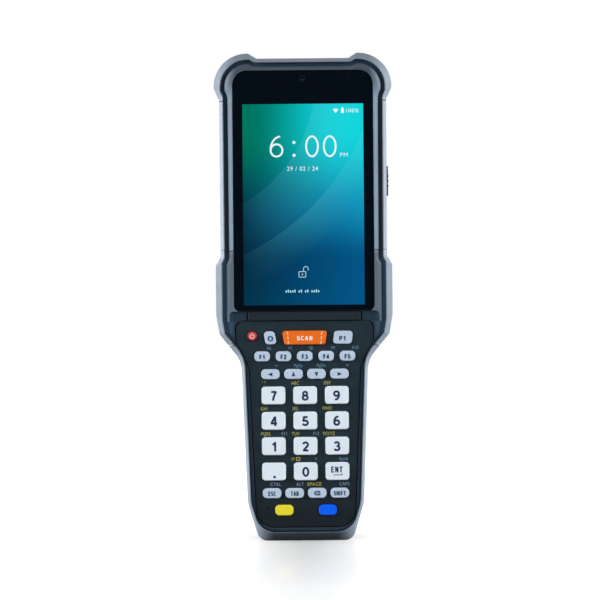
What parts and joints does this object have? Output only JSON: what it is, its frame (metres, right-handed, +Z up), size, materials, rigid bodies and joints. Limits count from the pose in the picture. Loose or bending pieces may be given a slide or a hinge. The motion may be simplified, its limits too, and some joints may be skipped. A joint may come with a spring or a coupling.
{
  "type": "portable barcode data terminal",
  "caption": "Hand-held barcode data terminal: touch screen in a bumpered head above a grip with a numeric keypad, hinged battery cover with latch behind.",
  "frame": {"origin": "centre of the bounding box at the foot, on the plane it stands on", "axes": "+Z up along the terminal from foot to scan window, +X to the right of the face, -Y out of the face"},
  "size_m": [0.0828, 0.034, 0.227],
  "materials": {
    "guard_grey": "satin light grey elastomer over plastic",
    "bezel_grey": "satin light grey",
    "housing_slate": "fine textured dark slate",
    "bar_slate": "satin dark slate",
    "panel_slate": "fine textured dark slate",
    "door_slate": "fine textured dark slate",
    "latch_grey": "ridged grey",
    "cover_glass": "polished, black bordered, lit screen behind",
    "lens_glass": "polished, dark",
    "scan_red_glass": "polished, dark red",
    "display_frame": "bare sheet",
    "camera_black": "black",
    "engine_black": "black",
    "speaker_black": "black",
    "circuit_board": "solder mask green",
    "dome_metal": "bright domes on film",
    "shield_metal": "tinned",
    "seal_rubber": "black silicone",
    "screw_steel": "blackened",
    "pack_black": "black",
    "contact_gold": "gold plated",
    "connector_black": "black with gilt pads",
    "side_key_dark": "dark soft-touch",
    "key_white": "satin, printed legend",
    "key_grey": "satin, printed legend",
    "key_orange": "satin, printed legend",
    "key_red": "satin, printed legend",
    "key_yellow": "satin",
    "key_blue": "satin"
  },
  "bodies": {
    "terminal": {"battery_contacts": "contact_gold", "bridge_bar": "bar_slate", "camera_window": "lens_glass", "display_module": "display_frame", "dock_connector": "connector_black", "dome_sheet": "dome_metal", "front_camera": "camera_black", "front_housing": "housing_slate", "glass_bezel": "bezel_grey", "grip_guard": "guard_grey", "housing_screws": "screw_steel", "housing_seal": "seal_rubber", "keypad_board": "circuit_board", "keypad_panel": "panel_slate", "loudspeaker": "speaker_black", "main_board": "circuit_board", "rear_camera": "camera_black", "rear_housing": "housing_slate", "scan_engine": "engine_black", "scan_window": "scan_red_glass", "shield_cans": "shield_metal", "shoulder_guards": "guard_grey", "side_rails": "guard_grey", "top_bumper": "guard_grey", "touch_glass": "cover_glass"},
    "side_key": {"right_side_key": "side_key_dark"},
    "battery": {"battery_door": "door_slate", "battery_pack": "pack_black"},
    "latch": {"battery_latch": "latch_grey"},
    "key_0": {"key_0": "key_white"},
    "key_1": {"key_1": "key_white"},
    "key_2": {"key_2": "key_white"},
    "key_3": {"key_3": "key_white"},
    "key_4": {"key_4": "key_white"},
    "key_5": {"key_5": "key_white"},
    "key_6": {"key_6": "key_white"},
    "key_7": {"key_7": "key_white"},
    "key_8": {"key_8": "key_white"},
    "key_9": {"key_9": "key_white"},
    "key_backspace": {"key_backspace": "key_grey"},
    "key_blue": {"key_blue": "key_blue"},
    "key_down": {"key_down": "key_grey"},
    "key_enter": {"key_enter": "key_white"},
    "key_escape": {"key_escape": "key_grey"},
    "key_f1": {"key_f1": "key_grey"},
    "key_f2": {"key_f2": "key_grey"},
    "key_f3": {"key_f3": "key_grey"},
    "key_f4": {"key_f4": "key_grey"},
    "key_f5": {"key_f5": "key_grey"},
    "key_home": {"key_home": "key_grey"},
    "key_left": {"key_left": "key_grey"},
    "key_p1": {"key_p1": "key_grey"},
    "key_point": {"key_point": "key_white"},
    "key_power": {"key_power": "key_red"},
    "key_right": {"key_right": "key_grey"},
    "key_scan": {"key_scan": "key_orange"},
    "key_shift": {"key_shift": "key_grey"},
    "key_tab": {"key_tab": "key_grey"},
    "key_up": {"key_up": "key_grey"},
    "key_yellow": {"key_yellow": "key_yellow"}
  },
  "joints": [
    {"name": "press_side_key", "type": "slide", "parent": "terminal", "child": "side_key", "axis": [-1, 0, 0], "range_m": [0, 0.0006], "stiffness_N_per_m": 1500},
    {"name": "battery_door_hinge", "type": "hinge", "parent": "terminal", "child": "battery", "pos_m": [0, 0.0157, 0.0121], "axis": [-1, 0, 0], "range_deg": [0, 35]},
    {"name": "latch_slide", "type": "slide", "parent": "battery", "child": "latch", "axis": [0, 0, 1], "range_m": [0, 0.0025]},
    {"name": "press_0", "type": "slide", "parent": "terminal", "child": "key_0", "axis": [0, 1, 0], "range_m": [0, 0.0007], "stiffness_N_per_m": 1500},
    {"name": "press_1", "type": "slide", "parent": "terminal", "child": "key_1", "axis": [0, 1, 0], "range_m": [0, 0.0007], "stiffness_N_per_m": 1500},
    {"name": "press_2", "type": "slide", "parent": "terminal", "child": "key_2", "axis": [0, 1, 0], "range_m": [0, 0.0007], "stiffness_N_per_m": 1500},
    {"name": "press_3", "type": "slide", "parent": "terminal", "child": "key_3", "axis": [0, 1, 0], "range_m": [0, 0.0007], "stiffness_N_per_m": 1500},
    {"name": "press_4", "type": "slide", "parent": "terminal", "child": "key_4", "axis": [0, 1, 0], "range_m": [0, 0.0007], "stiffness_N_per_m": 1500},
    {"name": "press_5", "type": "slide", "parent": "terminal", "child": "key_5", "axis": [0, 1, 0], "range_m": [0, 0.0007], "stiffness_N_per_m": 1500},
    {"name": "press_6", "type": "slide", "parent": "terminal", "child": "key_6", "axis": [0, 1, 0], "range_m": [0, 0.0007], "stiffness_N_per_m": 1500},
    {"name": "press_7", "type": "slide", "parent": "terminal", "child": "key_7", "axis": [0, 1, 0], "range_m": [0, 0.0007], "stiffness_N_per_m": 1500},
    {"name": "press_8", "type": "slide", "parent": "terminal", "child": "key_8", "axis": [0, 1, 0], "range_m": [0, 0.0007], "stiffness_N_per_m": 1500},
    {"name": "press_9", "type": "slide", "parent": "terminal", "child": "key_9", "axis": [0, 1, 0], "range_m": [0, 0.0007], "stiffness_N_per_m": 1500},
    {"name": "press_backspace", "type": "slide", "parent": "terminal", "child": "key_backspace", "axis": [0, 1, 0], "range_m": [0, 0.0007], "stiffness_N_per_m": 1500},
    {"name": "press_blue", "type": "slide", "parent": "terminal", "child": "key_blue", "axis": [0, 1, 0], "range_m": [0, 0.0007], "stiffness_N_per_m": 1500},
    {"name": "press_down", "type": "slide", "parent": "terminal", "child": "key_down", "axis": [0, 1, 0], "range_m": [0, 0.0007], "stiffness_N_per_m": 1500},
    {"name": "press_enter", "type": "slide", "parent": "terminal", "child": "key_enter", "axis": [0, 1, 0], "range_m": [0, 0.0007], "stiffness_N_per_m": 1500},
    {"name": "press_escape", "type": "slide", "parent": "terminal", "child": "key_escape", "axis": [0, 1, 0], "range_m": [0, 0.0007], "stiffness_N_per_m": 1500},
    {"name": "press_f1", "type": "slide", "parent": "terminal", "child": "key_f1", "axis": [0, 1, 0], "range_m": [0, 0.0007], "stiffness_N_per_m": 1500},
    {"name": "press_f2", "type": "slide", "parent": "terminal", "child": "key_f2", "axis": [0, 1, 0], "range_m": [0, 0.0007], "stiffness_N_per_m": 1500},
    {"name": "press_f3", "type": "slide", "parent": "terminal", "child": "key_f3", "axis": [0, 1, 0], "range_m": [0, 0.0007], "stiffness_N_per_m": 1500},
    {"name": "press_f4", "type": "slide", "parent": "terminal", "child": "key_f4", "axis": [0, 1, 0], "range_m": [0, 0.0007], "stiffness_N_per_m": 1500},
    {"name": "press_f5", "type": "slide", "parent": "terminal", "child": "key_f5", "axis": [0, 1, 0], "range_m": [0, 0.0007], "stiffness_N_per_m": 1500},
    {"name": "press_home", "type": "slide", "parent": "terminal", "child": "key_home", "axis": [0, 1, 0], "range_m": [0, 0.0007], "stiffness_N_per_m": 1500},
    {"name": "press_left", "type": "slide", "parent": "terminal", "child": "key_left", "axis": [0, 1, 0], "range_m": [0, 0.0007], "stiffness_N_per_m": 1500},
    {"name": "press_p1", "type": "slide", "parent": "terminal", "child": "key_p1", "axis": [0, 1, 0], "range_m": [0, 0.0007], "stiffness_N_per_m": 1500},
    {"name": "press_point", "type": "slide", "parent": "terminal", "child": "key_point", "axis": [0, 1, 0], "range_m": [0, 0.0007], "stiffness_N_per_m": 1500},
    {"name": "press_power", "type": "slide", "parent": "terminal", "child": "key_power", "axis": [0, 1, 0], "range_m": [0, 0.0007], "stiffness_N_per_m": 1500},
    {"name": "press_right", "type": "slide", "parent": "terminal", "child": "key_right", "axis": [0, 1, 0], "range_m": [0, 0.0007], "stiffness_N_per_m": 1500},
    {"name": "press_scan", "type": "slide", "parent": "terminal", "child": "key_scan", "axis": [0, 1, 0], "range_m": [0, 0.0007], "stiffness_N_per_m": 1500},
    {"name": "press_shift", "type": "slide", "parent": "terminal", "child": "key_shift", "axis": [0, 1, 0], "range_m": [0, 0.0007], "stiffness_N_per_m": 1500},
    {"name": "press_tab", "type": "slide", "parent": "terminal", "child": "key_tab", "axis": [0, 1, 0], "range_m": [0, 0.0007], "stiffness_N_per_m": 1500},
    {"name": "press_up", "type": "slide", "parent": "terminal", "child": "key_up", "axis": [0, 1, 0], "range_m": [0, 0.0007], "stiffness_N_per_m": 1500},
    {"name": "press_yellow", "type": "slide", "parent": "terminal", "child": "key_yellow", "axis": [0, 1, 0], "range_m": [0, 0.0007], "stiffness_N_per_m": 1500}
  ]
}
